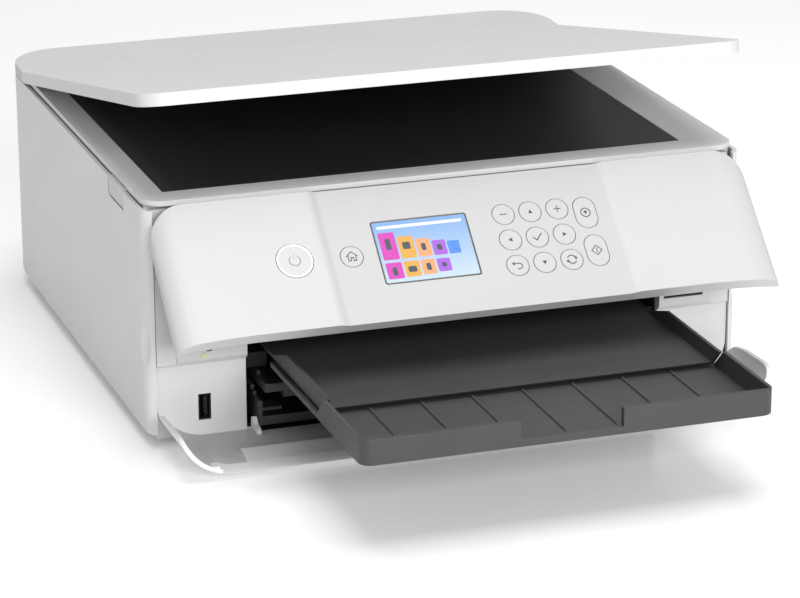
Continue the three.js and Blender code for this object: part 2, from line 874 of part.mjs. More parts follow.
function panelOutline(inset) {
  const half = PANEL_HALF - inset;
  const corner = 20 - inset;
  const quarter = Math.PI / 2;
  const low = -PANEL_DOWN + inset;
  const tip = -PANEL_TIP + inset;
  const droop = [
    [150, 0.25],
    [164, 0.62],
    [half, 1],
  ];
  return [
    ...droop.map(([x, share]) => [-x, low + (tip - low) * share]).reverse(),
    [-130, low],
    [130, low],
    ...droop.map(([x, share]) => [x, low + (tip - low) * share]),
    ...arc(half - corner, -inset - corner, corner, 0, quarter, 12),
    ...arc(-half + corner, -inset - corner, corner, quarter, 2 * quarter, 12),
  ];
}

function capsule(x, down, length, radius) {
  const reach = length / 2 - radius;
  return [
    ...arc(x, -down + reach, radius, 0, Math.PI, 16),
    ...arc(x, -down - reach, radius, Math.PI, 2 * Math.PI, 16),
  ];
}

function disc(x, down, radius) {
  return arc(x, -down, radius, 0, 2 * Math.PI, 32).slice(0, -1);
}

// Every key: its name and a function giving its outline grown by a margin.
function panelKeys() {
  const names = [
    ["key_minus", "key_up", "key_plus"],
    ["key_left", "key_ok", "key_right"],
    ["key_back", "key_down", "key_rotate"],
  ];
  const keys = names.flatMap((row, r) =>
    row.map((name, c) => [
      name,
      (margin) => disc(KEY_COLUMNS[c], KEY_ROWS[r], KEY_RADIUS + margin),
    ]),
  );
  const wide = (down) => (margin) =>
    capsule(WIDE_KEY_X, down, WIDE_KEY_LENGTH + 2 * margin, KEY_RADIUS + margin);
  keys.push(["key_stop", wide(STOP_DOWN)]);
  keys.push(["key_start", wide(START_DOWN)]);
  keys.push([
    "key_home",
    (margin) => disc(HOME_KEY.x, HOME_KEY.down, KEY_RADIUS + margin),
  ]);
  keys.push([
    "key_power",
    (margin) => disc(POWER_KEY.x, POWER_KEY.down, POWER_KEY.radius + margin),
  ]);
  return keys;
}

function lcdOutline(margin) {
  const { x, down, width, height } = LCD;
  return roundedOutline(
    x - width / 2 - margin,
    x + width / 2 + margin,
    -down - height / 2 - margin,
    -down + height / 2 + margin,
    1,
    1,
    1,
  );
}

function controlPanel() {
  const group = new THREE.Group();
  group.position.set(0, PANEL_TOP.y, PANEL_TOP.z);
  group.rotation.x = THREE.MathUtils.degToRad(-PANEL_TILT);

  const outer = panelSlab(PANEL_HALF, 0, PANEL_DEPTH).intersect(
    facing(panelOutline(0), -5, 20),
  );
  const hollow = panelSlab(PANEL_HALF - PANEL_SKIN, PANEL_SKIN, 30).intersect(
    facing(panelOutline(PANEL_SKIN), -5, 40),
  );
  const keys = panelKeys();
  const holes = keys.map(([, outline]) => facing(outline(GAP), -5, 6));
  const lcdHole = facing(lcdOutline(GAP), -5, 6);
  group.add(piece("panel_shell", cut(outer, hollow, ...holes, lcdHole), PANEL_WHITE));

  const backPlate = panelSlab(162, 6.2, 7.9).intersect(
    facing(panelOutline(PANEL_SKIN + 1), -5, 7.9),
  );
  group.add(piece("panel_back", backPlate, MID_GREY));
  group.add(piece("lcd_screen", facing(lcdOutline(0), FIELD.recess + 0.1, 5.4), BLACK_GLASS));

  const proud = 0.25;
  for (const [name, outline] of keys) {
    const surface = name === "key_power" ? 0 : FIELD.recess;
    group.add(piece(name, facing(outline(0), surface - proud, surface + 3.2), PANEL_WHITE));
  }
  return group;
}

// ---------- scanner unit ----------
function scannerTub() {
  const wall = 2;
  const { x, front, rear, bottom, top } = TUB;
  const outer = box(-x, x, front, rear, bottom, top);
  const hollow = box(-x + wall, x - wall, front + wall, rear - wall, bottom + wall, SPAN);
  const reach = [x - 1, HALF_WIDTH - GAP];
  const tabs = [
    across(notchOutline(NOTCH_GAP), reach[0], reach[1]),
    across(notchOutline(NOTCH_GAP), -reach[1], -reach[0]),
  ];
  // A lower shelf carries the fixed rear strip and passes under the lid's round edge.
  const shelfTop = CASE_TOP - 0.4;
  const shelf = raised(casingOutline(WALL + 1.5), shelfTop - 3.4, shelfTop).intersect(
    box(-x, x, rear - 3, LID_HINGE.y + 42, bottom, SPAN),
  );
  return union(cut(outer, hollow), shelf, ...tabs);
}

function scannerBezel() {
  const { x, front, rear, bottom, top } = BEZEL;
  const plate = raised(roundedOutline(-x, x, front, rear, 12, 1, 10), bottom, top);
  const opening = box(
    GLASS.x0 - GAP,
    GLASS.x1 + GAP,
    GLASS.y0 - GAP,
    GLASS.y1 + GAP,
    0,
    SPAN,
  );
  return cut(plate, opening);
}

// The fixed strip of the top behind the lid, with a hollow for the lid's round edge.
function rearTopCover() {
  const bottom = CASE_TOP + 0.4;
  const strip = raised(casingOutline(0), bottom, TOP_Z).intersect(
    box(-SPAN, SPAN, LID_HINGE.y, SPAN, 0, SPAN),
  );
  const hollow = raised(casingOutline(WALL + 1), 0, TOP_Z - WALL).intersect(
    box(-SPAN, SPAN, LID_HINGE.y + 9, SPAN, 0, SPAN),
  );
  const knuckle = rodX(-SPAN, SPAN, LID_HINGE.y, LID_HINGE.z, LID_THICK / 2 + 0.4, 32);
  const swing = box(-SPAN, SPAN, 0, LID_HINGE.y + 2.95, LID_HINGE.z + 2.4, SPAN);
  return cut(strip, hollow, knuckle, swing);
}

function scanHead() {
  const bar = box(-155, -139, -140, 79, 124, 135.4);
  const rodHole = rodX(-SPAN, SPAN, -30, 127, 2.9, 24);
  return cut(bar, rodHole);
}

function scannerUnit() {
  const group = new THREE.Group();
  group.add(piece("scanner_tub", scannerTub(), LIGHT_GREY));
  group.add(piece("scanner_bezel", scannerBezel(), LIGHT_GREY));
  const glass = box(GLASS.x0, GLASS.x1, GLASS.y0, GLASS.y1, GLASS.z0, GLASS.z1);
  group.add(piece("scanner_glass", glass, BLACK_GLASS));
  group.add(piece("rear_top_cover", rearTopCover(), WHITE));
  group.add(piece("scan_head", scanHead(), BLACK));
  group.add(piece("scan_rod", rodX(-168.4, 168.4, -30, 127, 2.5, 24), STEEL));
  return group;
}

// ---------- lid (local: hinge axis at the origin, front towards -y) ----------
function lid() {
  const group = new THREE.Group();
  group.position.set(0, LID_HINGE.y, LID_HINGE.z);
  group.rotation.x = THREE.MathUtils.degToRad(-LID_OPEN);
  const half = LID_THICK / 2;
  const rim = 1.6;
  const outline = roundedOutline(-HALF_WIDTH, HALF_WIDTH, -LID_LENGTH, 0, 15, 0.2, 12);
  const inner = roundedOutline(
    -HALF_WIDTH + rim,
    HALF_WIDTH - rim,
    -LID_LENGTH + rim,
    -8,
    15 - rim,
    1,
    12,
  );
  const shell = union(
    cut(raised(outline, -half, half), raised(inner, -SPAN, half - LID_SKIN)),
    rodX(-HALF_WIDTH, HALF_WIDTH, 0, 0, half, 32),
  );
  group.add(piece("lid_shell", shell, WHITE));
  const pad = raised(
    roundedOutline(GLASS.x0 - 3, GLASS.x1 + 3, -264, -34, 2, 2, 1),
    half - LID_SKIN - 1.3,
    half - LID_SKIN - GAP,
  );
  group.add(piece("lid_pad", pad, PANEL_WHITE));
  return group;
}

// ---------- the whole printer ----------
const printer = new THREE.Group();
printer.add(
  lowerCasing(),
  innerWorks(),
  printCarriage(),
  rollers(),
  cassettes(),
  piece("output_tray", outputTray(), DARK_GREY),
  piece("tray_extension", trayExtension(), MID_GREY),
  piece("front_cover", frontCover(), WHITE),
  controlPanel(),
  scannerUnit(),
  lid(),
);
printer.position.y = FRONT_SHIFT;

export default printer;
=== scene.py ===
"""Looks of a compact white all-in-one inkjet printer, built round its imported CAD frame.

Metres, +Z up, -Y is the front. It stands as in use: lid ajar, control panel tilted
out, front cover folded down and the output tray run out.
"""

import json
from math import cos, pi, radians, sin

import bmesh
import bpy
from mathutils import Matrix, Vector


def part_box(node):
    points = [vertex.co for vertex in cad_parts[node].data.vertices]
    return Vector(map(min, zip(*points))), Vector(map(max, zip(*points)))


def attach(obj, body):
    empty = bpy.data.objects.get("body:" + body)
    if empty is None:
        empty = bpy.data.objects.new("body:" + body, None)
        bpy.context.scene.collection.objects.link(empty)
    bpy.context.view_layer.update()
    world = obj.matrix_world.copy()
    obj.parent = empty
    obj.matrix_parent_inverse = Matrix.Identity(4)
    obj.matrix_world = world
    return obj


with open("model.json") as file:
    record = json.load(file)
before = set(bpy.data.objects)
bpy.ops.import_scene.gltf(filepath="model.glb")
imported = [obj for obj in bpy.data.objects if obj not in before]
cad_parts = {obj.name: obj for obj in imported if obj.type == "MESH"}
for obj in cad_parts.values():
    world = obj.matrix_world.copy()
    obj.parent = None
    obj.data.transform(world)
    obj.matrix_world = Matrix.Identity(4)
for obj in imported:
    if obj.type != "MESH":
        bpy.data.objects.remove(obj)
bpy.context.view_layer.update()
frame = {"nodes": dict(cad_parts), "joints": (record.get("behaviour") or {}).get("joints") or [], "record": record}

NODES = frame["nodes"]
JOINTS = {joint["name"]: joint for joint in frame["joints"]}
MM = 0.001


# ---------- camera ----------
CAMERA = {
    "azimuth": -18.83,
    "elevation": 18.66,
    "roll": -0.198,
    "distance": 2009.8 * MM,
    "target": Vector((13.7, 48.1, 25.0)) * MM,
    "lens": 152.49,
}


def make_camera():
    """The photo's camera, worked out from the object's edges."""
    a = radians(CAMERA["azimuth"])
    e = radians(CAMERA["elevation"])
    back = Vector((sin(a) * cos(e), -cos(a) * cos(e), sin(e)))
    data = bpy.data.cameras.new("camera")
    data.lens = CAMERA["lens"]
    data.sensor_width = 36
    data.clip_end = 60
    camera = bpy.data.objects.new("camera", data)
    bpy.context.scene.collection.objects.link(camera)
    roll = Matrix.Rotation(radians(CAMERA["roll"]), 4, "Z").to_quaternion()
    turn = (-back).to_track_quat("-Z", "Y") @ roll
    camera.rotation_mode = "QUATERNION"
    camera.rotation_quaternion = turn
    camera.location = CAMERA["target"] + back * CAMERA["distance"]
    bpy.context.scene.camera = camera


# ---------- shader helpers ----------
class Shader:
    """A node material with its Principled shader and object coordinates at hand."""

    def __init__(self, name):
        self.material = bpy.data.materials.new(name)
        self.material.use_nodes = True
        self.tree = self.material.node_tree
        self.shader = self.tree.nodes["Principled BSDF"]
        self.place = self.tree.nodes.new("ShaderNodeTexCoord").outputs["Object"]

    def node(self, kind, **links):
        """A node whose inputs are set from links, each a number, a colour or another socket."""
        made = self.tree.nodes.new("ShaderNode" + kind)
        for key, value in links.items():
            self.put(made.inputs[key.replace("_", " ")], value)
        return made

    def put(self, socket, value):
        if isinstance(value, bpy.types.NodeSocket):
            self.tree.links.new(value, socket)
        else:
            socket.default_value = value

    def maths(self, operation, a, b=0.0):
        made = self.tree.nodes.new("ShaderNodeMath")
        made.operation = operation
        self.put(made.inputs[0], a)
        self.put(made.inputs[1], b)
        return made.outputs[0]

    def noise(self, scale, detail=2.0, roughness=0.5, stretch=None):
        place = self.place
        if stretch:
            place = self.node("Mapping", Vector=place, Scale=stretch).outputs[0]
        made = self.node("TexNoise", Vector=place, Scale=scale, Detail=detail, Roughness=roughness)
        return made.outputs["Fac"]

    def spread(self, value, low, high, start=0.3, end=0.7):
        """value, which runs from start to end, brought into low to high."""
        made = self.tree.nodes.new("ShaderNodeMapRange")
        for index, number in enumerate((value, start, end, low, high)):
            self.put(made.inputs[index], number)
        return made.outputs[0]

    def blend(self, share, a, b):
        """Colour a where share is 0 and b where it is 1."""
        made = self.tree.nodes.new("ShaderNodeMix")
        made.data_type = "RGBA"
        self.put(made.inputs["Factor"], share)
        self.put(made.inputs[6], a)
        self.put(made.inputs[7], b)
        return made.outputs[2]

    def bump(self, height, distance):
        made = self.tree.nodes.new("ShaderNodeBump")
        made.inputs["Strength"].default_value = 1.0
        made.inputs["Distance"].default_value = distance
        self.put(made.inputs["Height"], height)
        return made.outputs[0]

    def inside(self, low, high):
        """1 inside a box in the object's own coordinates, 0 outside it."""
        axes = self.node("SeparateXYZ", Vector=self.place).outputs
        share = 1.0
        for axis, a, b in zip(axes, low, high):
            if a is not None:
                share = self.maths("MULTIPLY", share, self.maths("GREATER_THAN", axis, a))
            if b is not None:
                share = self.maths("MULTIPLY", share, self.maths("LESS_THAN", axis, b))
        return share

    def finish(self, colour, roughness, normal=None, **constants):
        self.put(self.shader.inputs["Base Color"], colour)
        self.put(self.shader.inputs["Roughness"], roughness)
        if normal is not None:
            self.put(self.shader.inputs["Normal"], normal)
        for key, value in constants.items():
            self.shader.inputs[key.replace("_", " ")].default_value = value
        return self.material


def rgb(red, green, blue):
    return (red, green, blue, 1.0)


def scaled(colour, factor):
    return rgb(*(channel * factor for channel in colour[:3]))


# ---------- materials ----------
def moulded(name, colour, roughness, grain=0.02, grain_size=0.5, variation=0.03, wear=0.05,
            mask=None, other=None, **constants):
    """Injection-moulded plastic: fine spark-eroded grain, slight flow marks, handling wear.

    Grain depth and grain size are in millimetres, and wear is the spread of the roughness.
    Where mask(shader) is 1 the colour is other instead.
    """
    s = Shader(name)
    fine = s.noise(1 / (grain_size * MM), detail=3.0, roughness=0.6)
    flow = s.noise(9.0, detail=2.0, stretch=(1.0, 1.0, 0.4))
    smudge = s.noise(38.0, detail=4.0, roughness=0.65)
    base = colour
    if mask:
        base = s.blend(mask(s), colour, other)
    tint = s.spread(flow, 1 - variation, 1 + variation * 0.3)
    shade = s.node("CombineColor", Red=tint, Green=tint, Blue=tint).outputs[0]
    made = s.tree.nodes.new("ShaderNodeMix")
    made.data_type = "RGBA"
    made.blend_type = "MULTIPLY"
    s.put(made.inputs["Factor"], 1.0)
    s.put(made.inputs[6], base)
    s.put(made.inputs[7], shade)
    handled = s.spread(smudge, roughness - wear, roughness + wear)
    rough = s.maths("ADD", handled, s.spread(fine, -0.02, 0.02))
    normal = s.bump(fine, grain * MM)
    return s.finish(made.outputs[2], rough, normal, **constants)


def brushed_steel(name, colour):
    """Metal with fine lines along its length and uneven polish."""
    s = Shader(name)
    lines = s.noise(700.0, detail=2.0, stretch=(0.02, 1.0, 1.0))
    cloud = s.noise(25.0, detail=3.0)
    tone = s.blend(s.spread(cloud, 0.0, 1.0), scaled(colour, 0.92), scaled(colour, 1.08))
    return s.finish(tone, s.spread(lines, 0.24, 0.42), s.bump(lines, 0.02 * MM), Metallic=1.0)


def rubber(name):
    """Matt black rubber with fine pits and some paper dust."""
    s = Shader(name)
    pits = s.noise(2600.0, detail=2.0)
    dust = s.noise(60.0, detail=5.0, roughness=0.7)
    dusty = s.spread(dust, 0.0, 1.0, 0.45, 0.75)
    colour = s.blend(dusty, rgb(0.012, 0.012, 0.013), rgb(0.035, 0.034, 0.033))
    return s.finish(colour, s.spread(dust, 0.78, 0.95), s.bump(pits, 0.03 * MM))


def flatbed_glass(name):
    """Polished glass, black over the dark scanner bed, with the line of its white-balance strip."""
    s = Shader(name)
    strip_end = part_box("scanner_glass")[0].x + 7.2 * MM
    line = s.inside((strip_end, None, None), (strip_end + 0.8 * MM, None, None))
    strip = s.inside((None, None, None), (strip_end, None, None))
    dust = s.noise(900.0, detail=5.0, roughness=0.8)
    wiped = s.noise(14.0, detail=3.0, stretch=(1.0, 0.3, 1.0))
    film = s.maths("MULTIPLY", s.spread(wiped, 0.2, 1.0), s.spread(dust, 0.0, 1.0, 0.62, 0.8))
    bed = s.blend(film, rgb(0.012, 0.012, 0.0125), rgb(0.02, 0.02, 0.02))
    bed = s.blend(strip, bed, rgb(0.022, 0.022, 0.023))
    colour = s.blend(line, bed, rgb(0.002, 0.002, 0.002))
    rough = s.spread(film, 0.30, 0.38, 0.0, 1.0)
    return s.finish(colour, rough, Specular_IOR_Level=0.15)


def circuit_board(name):
    """Green lacquer over a grid of paler copper tracks."""
    s = Shader(name)
    tracks = s.node("TexBrick", Vector=s.place, Scale=90.0, Mortar_Size=0.01).outputs["Fac"]
    cloud = s.noise(40.0)
    green = s.blend(s.spread(cloud, 0.0, 1.0), rgb(0.012, 0.09, 0.035), rgb(0.02, 0.13, 0.05))
    colour = s.blend(tracks, green, rgb(0.05, 0.24, 0.1))
    return s.finish(colour, s.spread(cloud, 0.3, 0.5), s.bump(tracks, 0.05 * MM))


def glowing(name, colour, strength):
    """A lit surface with a faint unevenness of its own."""
    s = Shader(name)
    cloud = s.noise(300.0, detail=2.0)
    dimmest = 0.92
    lit = s.blend(s.spread(cloud, 0.0, 1.0), scaled(colour, dimmest), colour)
    s.put(s.shader.inputs["Emission Color"], lit)
    return s.finish(lit, s.spread(cloud, 0.25, 0.35), Emission_Strength=strength)


def page_glow(name):
    """The lit page of the colour screen: sky blue above, pale below, with its fine dot grid."""
    s = Shader(name)
    low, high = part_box("lcd_screen")
    z = s.node("SeparateXYZ", Vector=s.place).outputs[2]
    share = s.spread(z, 0.0, 1.0, low.z, high.z)
    sky = s.blend(share, rgb(0.38, 0.47, 0.50), rgb(0.09, 0.23, 0.50))
    dots = s.noise(5200.0, detail=1.0)
    lit = s.blend(s.spread(dots, 0.0, 0.25), sky, rgb(0.08, 0.12, 0.2))
    s.put(s.shader.inputs["Emission Color"], lit)
    return s.finish(lit, s.spread(dots, 0.12, 0.2), Emission_Strength=0.40)


def screen_glass(name):
    """The black glossy front of the colour screen, with a faint film of finger grease."""
    s = Shader(name)
    film = s.noise(50.0, detail=4.0)
    colour = s.blend(s.spread(film, 0.0, 1.0), rgb(0.008, 0.008, 0.010), rgb(0.016, 0.016, 0.019))
    return s.finish(colour, s.spread(film, 0.05, 0.12), Coat_Weight=0.6, Coat_Roughness=0.04)


WHITE = rgb(0.67, 0.675, 0.68)
BRIGHT = rgb(0.55, 0.55, 0.55)
GREY_LINER = rgb(0.51, 0.515, 0.52)
SCAN_BLACK = rgb(0.006, 0.006, 0.007)


# The front cover's shape, in millimetres: where its ends start to curve up, the raised band
# along its front, the straight stretch of its rim, its two lugs and the span of its hinge arms.
BEND = {"x": 143, "radius": 30, "thick": 2.4}
BAND = {"half": 133, "depth": 23}
RIM = {"half": 150, "depth": 7, "end_depth": 1.4}
LUG = {"x": 152.5, "half": 2, "length": 6.5}
ARMS = {"left": -117, "right": 124.2, "depth": 12, "above": 2.8}
EDGE_MARGIN = 0.1  # millimetres by which the white band and lugs reach past their edges
LINER_MARGIN = 0.08  # the same for the grey liner


def cover_liner(s):
    """The grey inner surface of the front cover, a second shot of plastic inside its white rim."""
    low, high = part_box("front_cover")
    margin = EDGE_MARGIN * MM
    radius = BEND["radius"] * MM
    x, y, z = s.node("SeparateXYZ", Vector=s.place).outputs
    across = s.maths("ABSOLUTE", x)
    beyond = s.maths("MAXIMUM", s.maths("SUBTRACT", across, BEND["x"] * MM), 0.0)
    drop = s.maths("SUBTRACT", z, low.z + radius)
    squares = s.maths("ADD", s.maths("POWER", beyond, 2.0), s.maths("MULTIPLY", drop, drop))
    inner_radius = radius - BEND["thick"] * MM + LINER_MARGIN * MM
    inner = s.maths("LESS_THAN", s.maths("SQRT", squares), inner_radius)
    from_tip = s.maths("SUBTRACT", y, low.y)

    def front_strip(half, depth):
        return s.inside((-half * MM, None, None), (half * MM, low.y + depth * MM, None))

    band = front_strip(BAND["half"] + EDGE_MARGIN, BAND["depth"] + EDGE_MARGIN)
    rim = s.maths("MAXIMUM", s.maths("LESS_THAN", from_tip, RIM["end_depth"] * MM),
                  front_strip(RIM["half"], RIM["depth"]))
    lug_side = s.maths("ABSOLUTE", s.maths("SUBTRACT", across, LUG["x"] * MM))
    lugs = s.maths("MULTIPLY", s.maths("LESS_THAN", from_tip, LUG["length"] * MM + margin),
                   s.maths("LESS_THAN", lug_side, LUG["half"] * MM + margin))
    arms_start = (ARMS["left"] * MM, high.y - ARMS["depth"] * MM, None)
    arms_area = s.inside(arms_start, (ARMS["right"] * MM, None, None))
    arms = s.maths("MULTIPLY", s.maths("GREATER_THAN", z, low.z + ARMS["above"] * MM), arms_area)
    for white in (band, lugs, rim, arms):
        inner = s.maths("MULTIPLY", inner, s.maths("SUBTRACT", 1.0, white))
    return inner


def tub_well(s):
    """The black inside of the scanner tub."""
    low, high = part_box("scanner_tub")
    wall = 5.5 * MM
    return s.inside((low.x + wall, low.y + 1 * MM, low.z + 1 * MM), (high.x - wall, high.y - 50 * MM, None))


# The span in X of the panel's sunk middle, which gets painted shade.
SUNK_FIELD = (-81, 86)  # millimetres in X


def sunk_field_painted_shade(s):
    """The middle of the control panel, where painted shade makes it darker than its two ends."""
    left, right = SUNK_FIELD
    return s.inside((left * MM, None, None), (right * MM, None, None))


def bezel_top_inside_painted_highlight(s):
    """The grey top of the scanner's frame, inside its lighter rounded edge, which is a painted highlight."""
    low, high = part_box("scanner_bezel")
    edge = 4.2 * MM
    return s.inside((low.x + edge, low.y + edge, high.z - 0.4 * MM), (high.x - edge, high.y, None))


def make_materials():
    return {
        "casing_white": moulded("casing_white", WHITE, 0.42, grain=0.012, grain_size=0.45, variation=0.012),
        # The rear strip is the casing's white plastic at 0.84 of its tone: painted shade for its slope away from
        # the light.
        "rear_white": moulded("rear_white", scaled(WHITE, 0.84), 0.46, grain=0.02, grain_size=0.45,
                              variation=0.012),
        # The cover is the casing white brightened 1.12 times: painted light on its rim and band. Its grey liner is
        # its own colour.
        "cover_white": moulded("cover_white", scaled(WHITE, 1.12), 0.42, grain=0.012, grain_size=0.45,
                               variation=0.012, mask=cover_liner, other=GREY_LINER),
        # The panel's sunk middle is 0.93 of its white: painted shade.
        "panel_white": moulded("panel_white", BRIGHT, 0.36, grain=0.002, grain_size=0.8, variation=0.004,
                               wear=0.012, mask=sunk_field_painted_shade, other=scaled(BRIGHT, 0.93)),
        "key_white": moulded("key_white", scaled(BRIGHT, 0.94), 0.34, grain=0.002, grain_size=0.8,
                             variation=0.004, wear=0.012),
        "pad_white": moulded("pad_white", rgb(0.80, 0.80, 0.79), 0.8, grain=0.12, grain_size=0.9,
                             variation=0.05),
        # The bezel is 0.66 on its rounded outer band, a painted highlight, and 0.62 on its top inside that band.
        "bezel_grey": moulded("bezel_grey", rgb(0.66, 0.665, 0.67), 0.45, grain=0.02, grain_size=0.5,
                              mask=bezel_top_inside_painted_highlight, other=rgb(0.62, 0.625, 0.63)),
        "tub_grey": moulded("tub_grey", rgb(0.60, 0.605, 0.61), 0.45, grain=0.02, grain_size=0.5,
                            mask=tub_well, other=SCAN_BLACK),
        "gear_grey": moulded("gear_grey", rgb(0.45, 0.45, 0.44), 0.5, grain=0.01, variation=0.06),
        "tray_dark": moulded("tray_dark", rgb(0.045, 0.046, 0.048), 0.5, grain=0.03, grain_size=0.6,
                             variation=0.12),
        "tray_mid": moulded("tray_mid", rgb(0.050, 0.052, 0.054), 0.48, grain=0.03, grain_size=0.6,
                            variation=0.1),
        "frame_black": moulded("frame_black", rgb(0.012, 0.012, 0.013), 0.6, grain=0.03, grain_size=0.6,
                               variation=0.2, Specular_IOR_Level=0.25),
        "ink_cyan": moulded("ink_cyan", rgb(0.012, 0.27, 0.48), 0.4, grain=0.01, variation=0.1),
        "ink_magenta": moulded("ink_magenta", rgb(0.43, 0.03, 0.15), 0.4, grain=0.01, variation=0.1),
        "ink_yellow": moulded("ink_yellow", rgb(0.74, 0.52, 0.02), 0.4, grain=0.01, variation=0.1),
        "platen_glass": flatbed_glass("platen_glass"),
        "screen": screen_glass("screen"),
        "status_lamp": glowing("status_lamp", rgb(0.42, 0.46, 0.08), 0.6),
        "print_ink": moulded("print_ink", rgb(0.06, 0.06, 0.063), 0.5, grain=0.002, variation=0.1),
        "faint_ink": moulded("faint_ink", rgb(0.42, 0.42, 0.42), 0.5, grain=0.002, variation=0.05),
        "ring_glow": glowing("ring_glow", rgb(0.95, 0.96, 1.0), 0.55),
        "page": page_glow("page"),
        "menu_dark": glowing("menu_dark", rgb(0.02, 0.03, 0.045), 0.4),
        "menu_light": glowing("menu_light", rgb(0.55, 0.60, 0.66), 0.4),
        "magenta": glowing("magenta", rgb(0.42, 0.014, 0.29), 0.42),
        "amber": glowing("amber", rgb(0.50, 0.25, 0.02), 0.42),
        "peach": glowing("peach", rgb(0.56, 0.24, 0.10), 0.42),
        "violet": glowing("violet", rgb(0.24, 0.06, 0.44), 0.42),
        "azure": glowing("azure", rgb(0.035, 0.16, 0.50), 0.42),
        "sensor_blue": moulded("sensor_blue", rgb(0.01, 0.015, 0.06), 0.12, grain=0.001, variation=0.1),
        "brass": brushed_steel("brass", rgb(0.60, 0.46, 0.20)),
        "steel": brushed_steel("steel", rgb(0.57, 0.58, 0.59)),
        "rubber": rubber("rubber"),
        "circuit_green": circuit_board("circuit_green"),
    }


make_camera()
LOOKS = make_materials()
OWN_LOOK = {
    "front_cover": "cover_white",
    "scanner_tub": "tub_grey",
    "key_power": "panel_white",
    "rear_top_cover": "rear_white",
}


# ---------- CAD nodes: finer edges and their finish ----------
EDGE_WIDTH = {
    "lid_shell": 1.1,
    "rear_top_cover": 0.8,
    "panel_shell": 0.55,
    "front_cover": 0.7,
    "front_fascia": 0.8,
    "case_left": 0.6,
    "case_right": 0.6,
    "scanner_bezel": 0.8,
    "tray_extension": 0.7,
    "scanner_glass": 0.25,
    "lcd_screen": 0.15,
}
USUAL_EDGE = 0.4
KEEP_TRIANGLES = ("scanner_bezel", "front_fascia", "scan_head")  # their flats are pierced right through


def refine(node):
    """Rounds a CAD node's edges by modifiers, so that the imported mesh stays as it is."""
    obj = NODES[node]
    weld = obj.modifiers.new("weld", "WELD")
    weld.merge_threshold = 0.001 * MM
    if node not in KEEP_TRIANGLES:
        flat = obj.modifiers.new("flats", "DECIMATE")
        flat.decimate_type = "DISSOLVE"
        flat.angle_limit = radians(0.4)
    edge = obj.modifiers.new("edges", "BEVEL")
    edge.width = EDGE_WIDTH.get(node, USUAL_EDGE) * MM
    edge.segments = 3
    edge.limit_method = "ANGLE"
    edge.angle_limit = radians(38)
    edge.harden_normals = False
    shade = obj.modifiers.new("shading", "WEIGHTED_NORMAL")
    shade.keep_sharp = False
    shade.weight = 80
    obj.data.shade_smooth()


def dress(node, slot):
    """Gives a CAD node its look."""
    obj = NODES[node]
    obj.data.materials.clear()
    obj.data.materials.append(LOOKS[OWN_LOOK.get(node, slot)])


def slots_of_nodes():
    """Each node's material slot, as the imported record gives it."""
    return {part["node"]: part["material_slot"] for part in frame["record"]["subparts"]}


# ---------- pieces built here ----------
def solid(name, points, faces, look, body, soften=0.0):
    """A closed mesh piece in the row frame, which rides on a CAD body; soften rounds its edges."""
    mesh = bpy.data.meshes.new(name)
    mesh.from_pydata([tuple(p) for p in points], [], faces)
    shell = bmesh.new()
    shell.from_mesh(mesh)
    bmesh.ops.recalc_face_normals(shell, faces=shell.faces)
    shell.to_mesh(mesh)
    shell.free()
    mesh.materials.append(look)
    obj = bpy.data.objects.new(name, mesh)
    bpy.context.scene.collection.objects.link(obj)
    if soften:
        edge = obj.modifiers.new("edges", "BEVEL")
        edge.width = soften
        edge.segments = 3
        edge.limit_method = "ANGLE"
    mesh.shade_smooth()
    shade = obj.modifiers.new("shading", "WEIGHTED_NORMAL")
    shade.keep_sharp = False
    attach(obj, body)


class Plane:
    """A flat working plane: u and v along it, w out of it, in millimetres from its origin."""

    def __init__(self, origin, u, v):
        self.origin = Vector(origin)
        self.u = Vector(u)
        self.v = Vector(v)
        self.w = self.u.cross(self.v)

    def at(self, u, v, w=0.0):
        return self.origin + (self.u * u + self.v * v + self.w * w) * MM

    def spot(self, node):
        """Middle (u, v) of a node's outline, its half sizes and its highest w."""
        obj = NODES[node]
        local = [obj.matrix_world @ corner.co - self.origin for corner in obj.data.vertices]
        along = [[(p @ axis) / MM for p in local] for axis in (self.u, self.v, self.w)]
        low = [min(values) for values in along]
        high = [max(values) for values in along]
        middle = ((low[0] + high[0]) / 2, (low[1] + high[1]) / 2)
        return middle, ((high[0] - low[0]) / 2, (high[1] - low[1]) / 2), high[2]

    def slab(self, name, outlines, w0, w1, look, body, **more):
        """Closed outlines in (u, v), each raised from w0 to w1, as one piece."""
        points = []
        faces = []
        for outline in outlines:
            first = len(points)
            count = len(outline)
            points += [self.at(u, v, w0) for u, v in outline]
            points += [self.at(u, v, w1) for u, v in outline]
            faces.append([first + i for i in range(count)])
            faces.append([first + count + i for i in range(count)])
            for i in range(count):
                j = (i + 1) % count
                faces.append([first + i, first + j, first + count + j, first + count + i])
        solid(name, points, faces, look, body, **more)

    def ring(self, name, centre, inner, outer, w0, w1, look, body, steps=72, **more):
        """A flat ring between two radii, raised from w0 to w1."""
        points = []
        faces = []
        for i in range(steps):
            angle = 2 * pi * i / steps
            for radius, w in ((inner, w0), (outer, w0), (outer, w1), (inner, w1)):
                u = centre[0] + radius * cos(angle)
                v = centre[1] + radius * sin(angle)
                points.append(self.at(u, v, w))
        for i in range(steps):
            j = (i + 1) % steps
            for a in range(4):
                b = (a + 1) % 4
                faces.append([4 * i + a, 4 * j + a, 4 * j + b, 4 * i + b])
        solid(name, points, faces, look, body, **more)


def arc_points(u, v, radius, start, end, steps=16):
    """Points of an arc, with its angles in degrees."""
    angles = [radians(start + (end - start) * i / steps) for i in range(steps + 1)]
    return [(u + radius * cos(a), v + radius * sin(a)) for a in angles]


